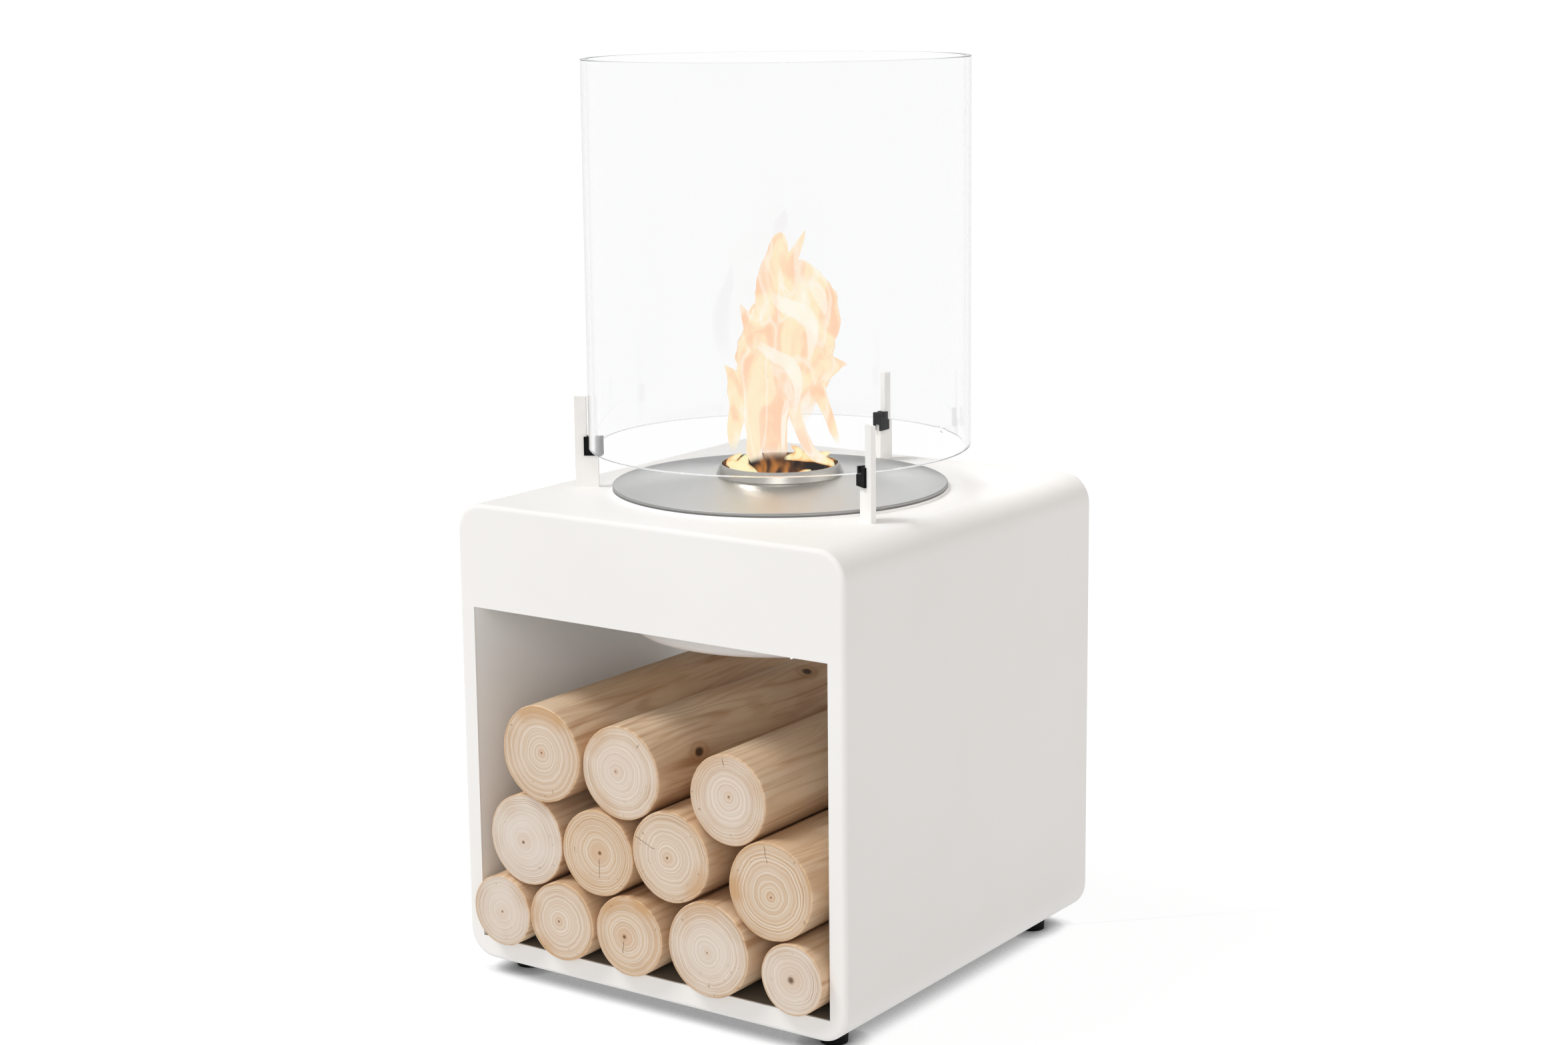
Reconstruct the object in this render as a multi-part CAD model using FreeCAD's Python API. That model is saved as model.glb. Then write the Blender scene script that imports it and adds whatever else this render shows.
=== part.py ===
import FreeCAD, Part
import math
import os

# A free-standing ethanol fireplace: a white steel cabinet with an open log store, a round
# stainless burner let into its top, and a clear glass cylinder carried on three posts.
# Millimetres, +Z up, front towards -Y. The origin is on the floor under the burner's axis.

Vector = FreeCAD.Vector

# Cabinet
cabinet_width = 400.0
cabinet_depth = 400.0
cabinet_height = 408.0
corner_radius = 26.0        # the four long corners of the wrap
edge_radius = 4.0           # front and rear edges, rolled over
sheet = 2.0                 # steel sheet of every cabinet panel
frame_return = 12.0         # how far the front and rear frames run round onto the wrap
jamb_width = 16.0           # frame beside the log store
sill_height = 19.5          # frame under the log store
apron_height = 91.0         # frame above the log store
apron_return = 16.0         # folded strip along the apron's lower edge

# Feet
foot_radius = 12.5
foot_height = 14.0
foot_taper = 1.0            # how much smaller the foot is where it meets the floor
foot_inset = 37.0           # from the cabinet's sides to the foot's axis
foot_bore_radius = 3.2
foot_recess_radius = 6.2
foot_recess_depth = 7.0
foot_screw_radius = 3.0
foot_screw_head_radius = 5.0
foot_screw_head_height = 3.5
foot_nut_radius = 5.8       # across corners, halved
foot_nut_height = 5.0
screw_end = 1.5             # thread that stands past a nut

# Burner tray, hung in the hole in the top
tray_rim_width = 15.8       # rim that lies on the cabinet top
tray_rim_height = 2.0
tray_rim_overhang = 0.8     # rim that shows past the burner plate's edge
tray_depth = 122.0          # from the cabinet top to the tray's underside
tray_wall = 1.5
tray_bottom_radius = 6.0
tray_hole_gap = 0.5
tray_screw_count = 4
tray_screw_radius = 2.0
tray_screw_head_radius = 3.6

# Stiffening ring under the top
ring_thickness = 3.0
ring_margin = 1.5           # ring past the posts' outer edges

# Burner
plate_margin = 53.0         # from the cabinet's nearest side to the plate's edge
plate_thickness = 2.0
plate_lip_width = 3.5
plate_lip_height = 3.6
plate_rise = 6.7            # from the edge to the collar
mouth_radius = 51.0
collar_width = 5.0
collar_height = 10.4
collar_lip = 1.2            # width of the collar's top rim
throat_wall = 1.2
throat_length = 48.4
throat_hole_radius = 2.5
throat_hole_count = 16
throat_hole_drop = 12.0     # from the plate's underside to the row of air holes
reservoir_gap = 29.0        # between the reservoir and the tray's wall
reservoir_wall = 1.5
reservoir_depth = 92.0
reservoir_bottom_radius = 8.0
fit_gap = 0.1               # fixed pieces slipped into one another

# Glass cylinder
glass_wall = 5.0
air_ring = 15.0             # from the plate's edge to the inside of the glass
glass_height = 335.0
glass_lift = 39.4           # from the cabinet top to the glass's lower edge
glass_edge_radius = 0.8
glass_gap = 0.4             # play between the glass and its saddles

# Posts and rubber saddles
post_angles = {"back": 90.0, "front_left": 210.0, "front_right": 330.0}
post_thickness = 4.5
post_fin_width = 10.4
post_step = 34.0
post_height = 80.6
post_screw_radius = 1.5
post_screw_head_radius = 2.8
post_screw_head_height = 2.0
post_screw_depth = 12.0     # thread inside the post
post_screw_inset = 5.0      # from the post's two edges
saddle_outer_wall = 3.0     # rubber between the glass and the fin
saddle_inner_wall = 3.4     # rubber inside the glass
saddle_cheek = 2.25         # rubber on each side of the post
saddle_wrap = 2.3           # cheek past the fin's inner edge
saddle_set_back = 2.3       # post's inner edge behind the saddle's inner face
saddle_skirt = 5.7          # cheek below the post's step
saddle_grip = 5.6           # saddle above the glass's lower edge

# Logs: the bottom row fills the store but for the slack, and the other rows rest on it.
# Each girth is a share of one mean radius, and each overhang is how far a log stands proud.
row_slack = 17.0
log_length = 320.0
log_gap = 0.4
log_headroom = 40.0         # least space from the stack to the burner tray
log_edge_radius = 2.0
bottom_girths = (0.87, 0.96, 0.97, 1.13, 0.84)
middle_girths = (1.11, 1.04, 1.09, 1.145)
top_girths = (1.165, 1.115, 1.06)
bottom_overhangs = (12.0, 13.0, 11.0, 14.0, 9.0)
middle_overhangs = (8.0, 10.0, 11.0, 8.0)
top_overhangs = (13.0, 11.0, 5.0)

# Levels and lines that follow from the sizes above
cabinet_base = foot_height
cabinet_top = cabinet_base + cabinet_height
front_y = -cabinet_depth / 2
rear_y = cabinet_depth / 2
store_width = cabinet_width - 2 * jamb_width
store_floor = cabinet_base + sill_height
store_top = cabinet_top - apron_height
top_underside = cabinet_top - sheet
ring_underside = top_underside - ring_thickness
plate_radius = min(cabinet_width, cabinet_depth) / 2 - plate_margin
tray_rim_radius = plate_radius + tray_rim_overhang
tray_radius = tray_rim_radius - tray_rim_width
tray_inside = tray_radius - tray_wall
tray_base = cabinet_top - tray_depth
tray_hole_radius = tray_radius + tray_hole_gap
plate_seat = cabinet_top + tray_rim_height
plate_edge_top = plate_seat + plate_lip_height
collar_radius = mouth_radius + collar_width
reservoir_radius = tray_inside - reservoir_gap
glass_inside = plate_radius + air_ring
glass_radius = glass_inside + glass_wall
glass_base = cabinet_top + glass_lift
fin_inner = glass_radius + glass_gap + saddle_outer_wall
post_outer = fin_inner + post_fin_width
saddle_inner = glass_inside - glass_gap - saddle_inner_wall
post_inner = saddle_inner + saddle_set_back

parts = {}


# Shape helpers
def block(x_low, x_high, y_low, y_high, z_low, z_high):
    """A box between two corners."""
    return Part.makeBox(x_high - x_low, y_high - y_low, z_high - z_low, Vector(x_low, y_low, z_low))


def rounded_bar(inset, y_low, y_high):
    """The cabinet's outline, drawn in by inset, run from one Y to another."""
    half = cabinet_width / 2 - inset
    bar = block(-half, half, y_low, y_high, cabinet_base + inset, cabinet_top - inset)
    long_edges = [edge for edge in bar.Edges if edge.BoundBox.YLength > (y_high - y_low) / 2]
    return bar.makeFillet(corner_radius - inset, long_edges)


def roll_front_edge(bar, radius):
    """Round the edges of a bar's front face."""
    front = bar.BoundBox.YMin
    tolerance = radius / 10
    edges = [edge for edge in bar.Edges if edge.BoundBox.YMax < front + tolerance]
    return bar.makeFillet(radius, edges)


def spun(points):
    """Revolve a closed outline of (radius, height) points about the burner's axis."""
    outline = Part.makePolygon([Vector(r, 0, z) for r, z in points + points[:1]])
    return Part.Face(outline).revolve(Vector(0, 0, 0), Vector(0, 0, 1), 360)


def round_circle(solid, radius, height, size):
    """Fillet the circular edge of a spun solid that has this radius and height."""
    close = size / 10
    chosen = []
    for edge in solid.Edges:
        box = edge.BoundBox
        flat = abs(box.ZMin - height) < close and abs(box.ZMax - height) < close
        if flat and abs(box.XMax - radius) < close:
            chosen.append(edge)
    return solid.makeFillet(size, chosen)


def rod(radius, z_low, z_high, x=0.0, y=0.0):
    """An upright cylinder."""
    return Part.makeCylinder(radius, z_high - z_low, Vector(x, y, z_low))


def around(radius, angle):
    """The X and Y of a point at a radius and an angle in degrees."""
    turn = math.radians(angle)
    return radius * math.cos(turn), radius * math.sin(turn)


def cut_all(solid, tools):
    """Cut each tool from a solid."""
    for tool in tools:
        solid = solid.cut(tool)
    return solid


def hexagon(radius, z_low, z_high, x, y):
    """An upright hexagonal prism."""
    corners = [Vector(x + dx, y + dy, z_low) for dx, dy in (around(radius, 60 * i) for i in range(6))]
    outline = Part.makePolygon(corners + corners[:1])
    return Part.Face(outline).extrude(Vector(0, 0, z_high - z_low))


def headed_screw(head_radius, head_height, shank_radius, z_head, z_tip, x, y):
    """A screw driven upwards: its head hangs below z_head and has a hexagonal socket."""
    head = rod(head_radius, z_head - head_height, z_head, x, y)
    shank = rod(shank_radius, z_head, z_tip, x, y)
    socket = hexagon(head_radius / 2, z_head - head_height, z_head - head_height / 2, x, y)
    return head.fuse(shank).cut(socket).removeSplitter()


def countersunk_screw(head_radius, shank_radius, z_head, z_tip, x, y):
    """A screw driven downwards, its cone flush with z_head."""
    depth = head_radius - shank_radius
    cone = Part.makeCone(shank_radius, head_radius, depth, Vector(x, y, z_head - depth))
    return rod(shank_radius, z_tip, z_head - depth, x, y).fuse(cone).removeSplitter()


# Where screws and feet stand
foot_x = cabinet_width / 2 - foot_inset
foot_y = cabinet_depth / 2 - foot_inset
feet = {
    "front_left": (-foot_x, -foot_y),
    "front_right": (foot_x, -foot_y),
    "rear_left": (-foot_x, foot_y),
    "rear_right": (foot_x, foot_y),
}
post_screw_radii = (post_inner + post_screw_inset, post_outer - post_screw_inset)
post_screw_places = [around(r, angle) for angle in post_angles.values() for r in post_screw_radii]
tray_screw_circle = (tray_hole_radius + tray_rim_radius - plate_lip_width) / 2
tray_screw_step = 360 / tray_screw_count
tray_screw_places = [
    around(tray_screw_circle, (i + 0.5) * tray_screw_step) for i in range(tray_screw_count)
]
post_holes = [
    rod(post_screw_radius + fit_gap, ring_underside, cabinet_top + post_screw_depth, x, y)
    for x, y in post_screw_places
]
tray_holes = [
    countersunk_screw(
        tray_screw_head_radius + fit_gap, tray_screw_radius + fit_gap, plate_seat, ring_underside, x, y
    )
    for x, y in tray_screw_places
]
foot_holes = [
    rod(foot_bore_radius, cabinet_base, cabinet_base + sheet, x, y) for x, y in feet.values()
]
burner_hole = rod(tray_hole_radius, ring_underside, cabinet_top)


# Cabinet: a wrap closed by a front and a rear frame
def face_frame():
    """The front frame: a shallow pan with rolled edges, the opening cut out, the apron folded."""
    outside = roll_front_edge(rounded_bar(0, front_y, front_y + frame_return), edge_radius)
    hollow = rounded_bar(sheet, front_y + sheet, front_y + frame_return + sheet)
    hollow = roll_front_edge(hollow, edge_radius - sheet)
    half = store_width / 2
    opening = block(-half, half, front_y, front_y + frame_return, store_floor, store_top)
    fold = block(-half, half, front_y + sheet, front_y + sheet + apron_return, store_top, store_top + sheet)
    return outside.cut(hollow).cut(opening).fuse(fold).removeSplitter()


wrap = rounded_bar(0, front_y + frame_return, rear_y - frame_return)
wrap = wrap.cut(rounded_bar(sheet, front_y + frame_return, rear_y - frame_return))
parts["outer_shell"] = cut_all(wrap, [burner_hole] + post_holes + tray_holes + foot_holes)
front_frame = face_frame()
rear_frame = front_frame.mirror(Vector(0, 0, 0), Vector(0, 1, 0))
parts["front_frame"] = cut_all(front_frame, post_holes)
parts["rear_frame"] = cut_all(rear_frame, post_holes)

# Log store lining: a floor and two side panels between the frames
liner_front = front_y + sheet
liner_rear = rear_y - sheet
liner_face = store_width / 2
liner_back = liner_face + sheet
flat_half = cabinet_width / 2 - corner_radius
corner_reach = max(liner_back - flat_half, 0)
corner_inside = corner_radius - edge_radius     # inside the frames' rolled edges
liner_top = cabinet_top - corner_radius + math.sqrt(corner_inside ** 2 - corner_reach ** 2) - fit_gap
parts["floor_liner"] = block(
    -liner_back, liner_back, liner_front, liner_rear, store_floor - sheet, store_floor
)
parts["left_liner"] = block(
    -liner_back, -liner_face, liner_front, liner_rear, store_floor, liner_top
)
parts["right_liner"] = block(
    liner_face, liner_back, liner_front, liner_rear, store_floor, liner_top
)

# Stiffening ring under the flat of the top
ring = rod(post_outer + ring_margin, ring_underside, top_underside)
flat = block(-flat_half, flat_half, liner_front, liner_rear, ring_underside, top_underside)
parts["top_stiffener"] = cut_all(ring.common(flat), [burner_hole] + post_holes + tray_holes)

# Feet: tapered rubber pads, each with a screw from below and a nut inside the cabinet
foot_screws = []
foot_nuts = []
for place, (x, y) in feet.items():
    pad = Part.makeCone(foot_radius - foot_taper, foot_radius, foot_height, Vector(x, y, 0))
    pad = pad.cut(rod(foot_bore_radius, 0, foot_height, x, y))
    pad = pad.cut(rod(foot_recess_radius, 0, foot_recess_depth, x, y))
    parts["foot_" + place] = pad
    nut_base = cabinet_base + sheet
    nut_top = nut_base + foot_nut_height
    nut = hexagon(foot_nut_radius, nut_base, nut_top, x, y)
    foot_nuts.append(nut.cut(rod(foot_screw_radius + fit_gap, nut_base, nut_top, x, y)))
    foot_screws.append(headed_screw(
        foot_screw_head_radius, foot_screw_head_height, foot_screw_radius,
        foot_recess_depth, nut_top + screw_end, x, y
    ))
parts["foot_screws"] = Part.makeCompound(foot_screws)
parts["foot_nuts"] = Part.makeCompound(foot_nuts)

# Burner tray: a deep pan hung by its rim and screwed down
tray = spun([
    (0, tray_base), (tray_radius, tray_base), (tray_radius, cabinet_top),
    (tray_rim_radius, cabinet_top), (tray_rim_radius, plate_seat), (tray_inside, plate_seat),
    (tray_inside, tray_base + tray_wall), (0, tray_base + tray_wall),
])
tray = round_circle(tray, tray_radius, tray_base, tray_bottom_radius)
tray = round_circle(tray, tray_inside, tray_base + tray_wall, tray_bottom_radius - tray_wall)
parts["burner_tray"] = cut_all(tray, tray_holes)
parts["tray_screws"] = Part.makeCompound([
    countersunk_screw(tray_screw_head_radius, tray_screw_radius, plate_seat, ring_underside, x, y)
    for x, y in tray_screw_places
])

# Burner: a dished plate with a collar round its mouth, a throat and a fuel reservoir below
plate_slope = plate_rise / (plate_radius - collar_radius)


def plate_face(radius):
    """Height of the plate's upper face at a radius."""
    return plate_edge_top + (plate_radius - radius) * plate_slope


def plate_back(radius):
    """Height of the plate's underside at a radius."""
    return plate_face(radius) - plate_thickness


lip_inside = plate_radius - plate_lip_width
plate = spun([
    (plate_radius, plate_seat), (plate_radius, plate_edge_top), (mouth_radius, plate_face(mouth_radius)),
    (mouth_radius, plate_back(mouth_radius)), (lip_inside, plate_back(lip_inside)), (lip_inside, plate_seat),
])
parts["burner_plate"] = round_circle(plate, plate_radius, plate_edge_top, plate_thickness / 2)

collar_top = plate_face(collar_radius) + collar_height
collar_shoulder = collar_top - 2 * collar_lip
parts["burner_collar"] = spun([
    (mouth_radius, plate_face(mouth_radius)), (collar_radius, plate_face(collar_radius)),
    (collar_radius, plate_face(collar_radius) + collar_lip),
    (mouth_radius + 2 * collar_lip, collar_shoulder), (mouth_radius + collar_lip, collar_top),
    (mouth_radius, collar_top),
])

throat_outside = mouth_radius - fit_gap
throat_inside = throat_outside - throat_wall
throat_top = collar_top - collar_lip
throat_base = throat_top - throat_length
throat = spun([
    (throat_inside, throat_base), (throat_outside, throat_base),
    (throat_outside, throat_top), (throat_inside, throat_top),
])
hole_height = plate_back(mouth_radius) - throat_hole_drop
throat_holes = []
for i in range(throat_hole_count):
    dx, dy = around(mouth_radius, 360 * i / throat_hole_count)
    throat_holes.append(
        Part.makeCylinder(throat_hole_radius, mouth_radius, Vector(0, 0, hole_height), Vector(dx, dy, 0))
    )
parts["burner_throat"] = cut_all(throat, throat_holes)

reservoir_inside = reservoir_radius - reservoir_wall
reservoir_base = plate_seat - reservoir_depth
reservoir_floor = reservoir_base + reservoir_wall
reservoir = spun([
    (0, reservoir_base), (reservoir_radius, reservoir_base),
    (reservoir_radius, plate_back(reservoir_radius)), (reservoir_inside, plate_back(reservoir_inside)),
    (reservoir_inside, reservoir_floor), (0, reservoir_floor),
])
reservoir = round_circle(reservoir, reservoir_radius, reservoir_base, reservoir_bottom_radius)
reservoir = round_circle(
    reservoir, reservoir_inside, reservoir_floor, reservoir_bottom_radius - reservoir_wall
)
parts["fuel_reservoir"] = reservoir

# Glass cylinder, open at both ends, with polished rims
glass_top = glass_base + glass_height
glass = spun([
    (glass_inside, glass_base), (glass_radius, glass_base),
    (glass_radius, glass_top), (glass_inside, glass_top),
])
for rim_radius in (glass_inside, glass_radius):
    glass = round_circle(glass, rim_radius, glass_top, glass_edge_radius)
    glass = round_circle(glass, rim_radius, glass_base, glass_edge_radius)
parts["glass_cylinder"] = glass

# Posts: stepped flat bars screwed down from below, each capped by a rubber saddle
step_level = cabinet_top + post_step
post_half = post_thickness / 2
saddle_half = post_half + saddle_cheek
saddle_base = step_level - saddle_skirt
saddle_top = glass_base + saddle_grip
saddle_outer = fin_inner + saddle_wrap
glass_slot = rod(glass_radius + glass_gap, glass_base, saddle_top).cut(
    rod(glass_inside - glass_gap, glass_base, saddle_top)
)


def stepped_post():
    """A post as it stands on the +X side: a wide foot with a narrow fin outside the glass."""
    foot = block(post_inner, post_outer, -post_half, post_half, cabinet_top, step_level)
    fin = block(fin_inner, post_outer, -post_half, post_half, step_level, cabinet_top + post_height)
    return foot.fuse(fin).removeSplitter()


def saddle():
    """A rubber saddle on the +X side: it straddles the post's step and holds the glass's edge."""
    body = block(saddle_inner, saddle_outer, -saddle_half, saddle_half, saddle_base, saddle_top)
    return body.cut(stepped_post()).cut(post_notch()).cut(glass_slot)


def post_notch():
    """The space in front of the post's inner edge, left open under the saddle's lip."""
    return block(saddle_inner, post_inner, -post_half, post_half, saddle_base, step_level)


for place, angle in post_angles.items():
    for name, shape in (("post_", stepped_post()), ("saddle_", saddle())):
        shape.rotate(Vector(0, 0, 0), Vector(0, 0, 1), angle)
        parts[name + place] = shape
    parts["post_" + place] = cut_all(parts["post_" + place], post_holes)
parts["post_screws"] = Part.makeCompound([
    headed_screw(
        post_screw_head_radius, post_screw_head_height, post_screw_radius,
        ring_underside, cabinet_top + post_screw_depth, x, y
    )
    for x, y in post_screw_places
])

# Logs: round and debarked, stacked in three rows. Each is held as (x, z, radius).
def on_floor(x, radius):
    """A log that lies on the store's floor."""
    return x, store_floor + log_gap + radius, radius


def beside(left, radius):
    """A log on the floor, against the one to its left."""
    height = store_floor + log_gap + radius
    reach = left[2] + radius + log_gap
    return left[0] + math.sqrt(reach ** 2 - (height - left[1]) ** 2), height, radius


def resting(left, right, radius):
    """A log that rests on two others, a small gap from both."""
    to_left = left[2] + radius + log_gap
    to_right = right[2] + radius + log_gap
    span = math.hypot(right[0] - left[0], right[1] - left[1])
    along = (to_left ** 2 - to_right ** 2 + span ** 2) / (2 * span)
    off = math.sqrt(to_left ** 2 - along ** 2)
    ux = (right[0] - left[0]) / span
    uz = (right[1] - left[1]) / span
    return left[0] + along * ux - off * uz, left[1] + along * uz + off * ux, radius


def stacked(share):
    """The three rows of a stack that takes up this share of the store's width, lowest row first."""
    mean_radius = share * (store_width - row_slack) / (2 * sum(bottom_girths))
    half_width = share * store_width / 2
    bottom = [girth * mean_radius for girth in bottom_girths]
    middle = [girth * mean_radius for girth in middle_girths]
    top = [girth * mean_radius for girth in top_girths]
    first = on_floor(log_gap - half_width + bottom[0], bottom[0])
    second = beside(first, bottom[1])
    third = beside(second, bottom[2])
    fifth = on_floor(half_width - log_gap - bottom[4], bottom[4])
    fourth = on_floor((third[0] + third[2] + fifth[0] - fifth[2]) / 2, bottom[3])
    over_first = resting(first, second, middle[0])
    over_third = resting(over_first, third, middle[1])
    over_fourth = resting(over_third, fourth, middle[2])
    over_fifth = resting(fourth, fifth, middle[3])
    top_middle = resting(over_third, over_fourth, top[1])
    top_left = resting(over_first, top_middle, top[0])
    top_right = resting(over_fourth, over_fifth, top[2])
    return (
        (first, second, third, fourth, fifth),
        (over_first, over_third, over_fourth, over_fifth),
        (top_left, top_middle, top_right),
    )


# The bottom row fills the store's width, unless the stack would then be too tall for the tray
stack_height = max(z + radius for row in stacked(1) for x, z, radius in row) - store_floor
room = tray_base - log_headroom - store_floor
rows = stacked(min(1, room / stack_height))
overhang_rows = (bottom_overhangs, middle_overhangs, top_overhangs)
for row_name, row, overhangs in zip(("bottom", "middle", "top"), rows, overhang_rows):
    for number, ((x, z, radius), overhang) in enumerate(zip(row, overhangs), start=1):
        end = Vector(x, front_y - overhang, z)
        log = Part.makeCylinder(radius, log_length, end, Vector(0, 1, 0))
        rims = [edge for edge in log.Edges if edge.BoundBox.YLength < log_edge_radius]
        parts["log_%s_%d" % (row_name, number)] = log.makeFillet(log_edge_radius, rims)

os.makedirs("parts", exist_ok=True)
for name, shape in parts.items():
    shape.exportStep("parts/%s.step" % name)
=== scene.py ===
import math
import random

import bpy
from mathutils import Matrix, Vector, noise


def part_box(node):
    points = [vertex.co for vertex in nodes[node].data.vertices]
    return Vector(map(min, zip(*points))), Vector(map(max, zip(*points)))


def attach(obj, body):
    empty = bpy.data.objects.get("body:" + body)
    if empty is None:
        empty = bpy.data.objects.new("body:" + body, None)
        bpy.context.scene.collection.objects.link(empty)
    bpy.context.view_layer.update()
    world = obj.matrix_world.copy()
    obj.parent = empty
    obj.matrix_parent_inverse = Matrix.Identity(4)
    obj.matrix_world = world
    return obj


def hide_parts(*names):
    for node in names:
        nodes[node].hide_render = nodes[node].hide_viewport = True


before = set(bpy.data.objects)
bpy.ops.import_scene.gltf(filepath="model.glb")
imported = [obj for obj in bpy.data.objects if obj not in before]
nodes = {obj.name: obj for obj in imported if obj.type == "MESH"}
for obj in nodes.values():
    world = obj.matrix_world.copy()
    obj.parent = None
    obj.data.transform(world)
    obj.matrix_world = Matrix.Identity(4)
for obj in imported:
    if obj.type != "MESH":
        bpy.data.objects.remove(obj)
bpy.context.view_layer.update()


# Cabinet and posts
# A wrap of steel sheet closed by a front and a rear frame with rolled edges, lined inside for the
# logs. Three flat steel posts are screwed to its top. All of it is powder coated in satin white,
# with the faint orange peel that the baked powder leaves.
class Wire:
    """A socket of a finish, so that sums on it read as plain expressions."""

    def __init__(self, socket):
        self.socket = socket

    def node(self, kind, settings=None, inputs=None, output=0):
        """Add any node to the same finish and return the wire of one of its outputs."""
        made = self.socket.id_data.nodes.new(kind)
        for name, value in (settings or {}).items():
            setattr(made, name, value)
        Wire.plug(made, inputs or {})
        return Wire(made.outputs[output])

    @staticmethod
    def plug(node, inputs):
        """Link wires to a node's sockets and set plain values on the rest."""
        for name, value in inputs.items():
            socket = node.inputs[name]
            if isinstance(value, Wire):
                node.id_data.links.new(value.socket, socket)
            elif socket.type == "RGBA" and len(value) == 3:
                socket.default_value = (*value, 1.0)
            else:
                socket.default_value = value

    def math(self, operation, other=0.0, swap=False):
        """One sum on this value and another, which swap puts first."""
        first, second = (other, self) if swap else (self, other)
        return self.node("ShaderNodeMath", {"operation": operation}, {0: first, 1: second})

    def __add__(self, other):
        return self.math("ADD", other)

    def __sub__(self, other):
        return self.math("SUBTRACT", other)

    def __rsub__(self, other):
        return self.math("SUBTRACT", other, swap=True)

    def __mul__(self, other):
        return self.math("MULTIPLY", other)

    def __truediv__(self, other):
        return self.math("DIVIDE", other)

    __radd__ = __add__
    __rmul__ = __mul__

    def ease(self, low, high):
        """0 below low, 1 above high, smooth between."""
        settings = {"interpolation_type": "SMOOTHSTEP"}
        return self.node("ShaderNodeMapRange", settings, {"Value": self, "From Min": low, "From Max": high})

    def times(self, scale):
        """A place stretched along its axes."""
        return self.node("ShaderNodeVectorMath", {"operation": "MULTIPLY"}, {0: self, 1: scale})

    def parts(self):
        """The X, Y and Z of a place."""
        split = self.node("ShaderNodeSeparateXYZ", inputs={0: self}).socket.node
        return tuple(Wire(split.outputs[axis]) for axis in "XYZ")

    def noise(self, scale, detail=2.0, roughness=0.5, distortion=0.0):
        """Noise at this place, from 0 to 1."""
        inputs = {
            "Vector": self, "Scale": scale, "Detail": detail,
            "Roughness": roughness, "Distortion": distortion,
        }
        return self.node("ShaderNodeTexNoise", {"normalize": True}, inputs)

    def drift(self, detail=1.0):
        """Noise along a line, with this as the way along it."""
        return self.node("ShaderNodeTexNoise", {"noise_dimensions": "1D"}, {"W": self, "Detail": detail})

    def blend(self, first, second):
        """The first colour where this is 0, the second where it is 1."""
        settings = {"data_type": "RGBA", "clamp_factor": True}
        return self.node("ShaderNodeMix", settings, {0: self, 6: first, 7: second}, output=2)

    def bump(self, depth, strength=1.0):
        """A normal raised by this height, times a depth in metres."""
        return self.node("ShaderNodeBump", inputs={"Strength": strength, "Distance": depth, "Height": self})

    def shade(self, inputs):
        """Set the sockets of the shader that this wire comes from."""
        Wire.plug(self.socket.node, inputs)


def new_finish(name):
    """A material, and the wire of its shader."""
    material = bpy.data.materials.new(name)
    material.use_nodes = True
    return material, Wire(material.node_tree.nodes["Principled BSDF"].outputs[0])


def place_on_part(shader):
    """The place in metres that is being shaded."""
    return shader.node("ShaderNodeTexCoord", output="Object")


def dress(material, *names):
    """Give CAD nodes a finish."""
    for name in names:
        mesh = nodes[name].data
        mesh.materials.clear()
        mesh.materials.append(material)


def powder_coat(name, colour, cloud, roughness):
    """Baked powder: an even colour that clouds a little, with orange peel and fine grain."""
    material, shader = new_finish(name)
    here = place_on_part(shader)
    clouding = here.noise(6.0, 3.0)
    peel = here.noise(330.0, 1.0)
    grain = here.noise(1500.0, 2.0)
    shader.shade({
        "Base Color": clouding.ease(0.35, 0.7).blend(colour, cloud),
        "Roughness": roughness + (clouding - 0.5) * 0.08 + (grain - 0.5) * 0.1,
        "Normal": (peel + grain * 0.25).bump(0.00006, 0.5),
        "Specular IOR Level": 0.4,
    })
    return material


white_coat = powder_coat("white_powder_coat", (0.875, 0.866, 0.848), (0.86, 0.85, 0.831), 0.45)
# painted light: the lining is a lighter, cooler copy of the satin white, which lifts the shaded inner walls
# and offsets the warm light that the logs throw on them
lining_coat = powder_coat("lit_lining_powder_coat", (0.93, 0.945, 0.945), (0.915, 0.93, 0.928), 0.5)
dress(white_coat, "outer_shell", "front_frame", "rear_frame")
dress(white_coat, "post_back", "post_front_left", "post_front_right")
dress(lining_coat, "left_liner", "right_liner")


# Floor of the log store
# A bare sheet under the logs, coloured a dark brown grey as painted shade for the shadow that the logs cast
# on it.
# painted shade: the sheet's dark brown grey stands for the shade under the logs
store_floor = powder_coat("shaded_store_floor", (0.2, 0.182, 0.152), (0.15, 0.132, 0.108), 0.7)
dress(store_floor, "floor_liner")


# Stiffening ring, screws and nuts
# A pressed ring under the top takes the screws of the posts and the tray. It and all fasteners
# are zinc plated: a cool grey with a faint crystal pattern.
zinc, shader = new_finish("zinc_plate")
here = place_on_part(shader)
crystals = here.node(
    "ShaderNodeTexVoronoi", {"feature": "F1"}, {"Vector": here, "Scale": 260.0}, output="Distance"
)
shader.shade({
    "Base Color": crystals.ease(0.1, 0.8).blend((0.62, 0.63, 0.64), (0.5, 0.51, 0.52)),
    "Roughness": 0.36 + here.noise(90.0) * 0.16,
    "Normal": crystals.bump(0.00003, 0.3),
    "Metallic": 1.0,
})
dress(zinc, "top_stiffener", "foot_screws", "foot_nuts", "tray_screws", "post_screws")


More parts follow.
